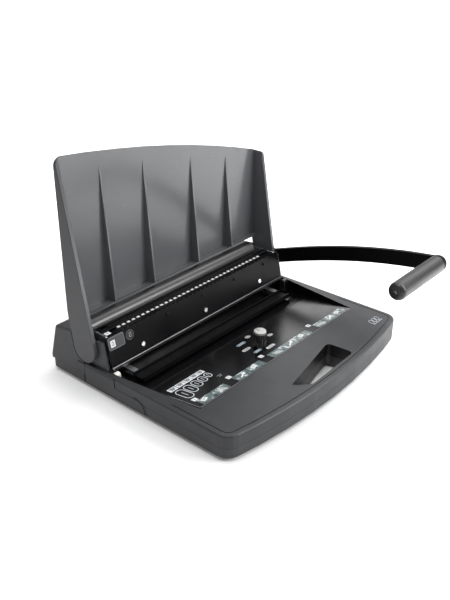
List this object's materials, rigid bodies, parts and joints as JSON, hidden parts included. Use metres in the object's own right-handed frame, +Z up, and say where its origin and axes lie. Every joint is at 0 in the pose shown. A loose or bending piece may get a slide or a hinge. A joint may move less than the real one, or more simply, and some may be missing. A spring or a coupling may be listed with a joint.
{
  "type": "wire binding machine",
  "caption": "Desktop wire binding machine: a lever-driven punch with a square-pin comb and paper throat, a sliding wire closer, a size dial, a chip drawer and a hinged cover.",
  "frame": {"origin": "middle of the bounding box in plan, on the table that the feet stand on", "axes": "+X to the right along the paper throat, +Y to the rear, +Z up; the front with the lever's grip is towards -Y"},
  "size_m": [0.3798, 0.356, 0.2924],
  "materials": {
    "body_plastic": "fine satin texture, charcoal",
    "satin_black": "satin black",
    "black_steel": "blackened, lightly oiled",
    "grey_steel": "dark brushed",
    "bright_steel": "ground bright",
    "zinc_steel": "zinc plated",
    "silver_paint": "silver white",
    "soft_black": "satin black grip",
    "nylon": "natural white",
    "rubber": "matt black"
  },
  "bodies": {
    "base_unit": {"base_pan": "body_plastic", "top_deck": "body_plastic", "rear_housing": "body_plastic", "punch_cover": "body_plastic", "end_bracket_left": "body_plastic", "end_bracket_right": "body_plastic", "front_plate": "satin_black", "die_bar": "black_steel", "stripper_bar": "black_steel", "wire_hook_1": "black_steel", "wire_hook_2": "black_steel", "wire_hook_3": "black_steel", "wire_hook_4": "black_steel", "closer_anvil": "grey_steel", "plate_screw_1": "bright_steel", "plate_screw_2": "bright_steel", "plate_screw_3": "bright_steel", "return_spring_left": "bright_steel", "return_spring_right": "bright_steel", "chassis_plate": "zinc_steel", "side_plate_left": "zinc_steel", "side_plate_right": "zinc_steel", "spring_rail": "zinc_steel", "shaft_bush_left": "nylon", "shaft_bush_right": "nylon", "jaw_guide_left": "nylon", "jaw_guide_right": "nylon", "foot_front_left": "rubber", "foot_front_right": "rubber", "foot_rear_left": "rubber", "foot_rear_right": "rubber"},
    "cover_unit": {"cover": "body_plastic"},
    "lever_unit": {"drive_shaft": "bright_steel", "eccentric_left": "zinc_steel", "eccentric_right": "zinc_steel", "lever_spacer": "nylon", "lever_arm": "black_steel", "lever_hub_cap": "body_plastic", "lever_grip": "soft_black", "grip_screw": "bright_steel", "grip_end_cap": "soft_black"},
    "punch_unit": {"punch_comb": "bright_steel", "punch_carrier": "black_steel"},
    "jaw_unit": {"closer_jaw": "satin_black", "jaw_link_left": "zinc_steel", "jaw_link_right": "zinc_steel"},
    "dial_unit": {"dial_knob": "satin_black", "dial_cap": "silver_paint", "dial_spindle": "bright_steel", "dial_cam": "nylon"},
    "drawer_unit": {"drawer_front": "body_plastic", "chip_bin": "satin_black"}
  },
  "joints": [
    {"name": "cover_hinge", "type": "hinge", "parent": "base_unit", "child": "cover_unit", "pos_m": [-0.00725, 0.1105, 0.056], "axis": [1, 0, 0], "range_deg": [0, 100.5]},
    {"name": "lever_turn", "type": "hinge", "parent": "base_unit", "child": "lever_unit", "pos_m": [0.18275, 0.1105, 0.056], "axis": [-1, 0, 0], "range_deg": [0, 85]},
    {"name": "punch_stroke", "type": "slide", "parent": "base_unit", "child": "punch_unit", "axis": [0, 1, 0], "range_m": [0, 0.0096], "deforming": ["return_spring_left", "return_spring_right"]},
    {"name": "jaw_stroke", "type": "slide", "parent": "base_unit", "child": "jaw_unit", "axis": [0, -1, 0], "range_m": [0, 0.0081]},
    {"name": "dial_turn", "type": "hinge", "parent": "base_unit", "child": "dial_unit", "pos_m": [-0.00525, -0.0205, 0.03], "axis": [0, 0, 1], "range_deg": [-150, 150]},
    {"name": "drawer_slide", "type": "slide", "parent": "base_unit", "child": "drawer_unit", "axis": [-1, 0, 0], "range_m": [0, 0.25]}
  ],
  "couplings": [
    {"joint": "punch_stroke", "follows": "lever_turn", "m_per_rad": 0.0064036},
    {"joint": "jaw_stroke", "follows": "lever_turn", "m_per_rad": 0.0053925}
  ]
}
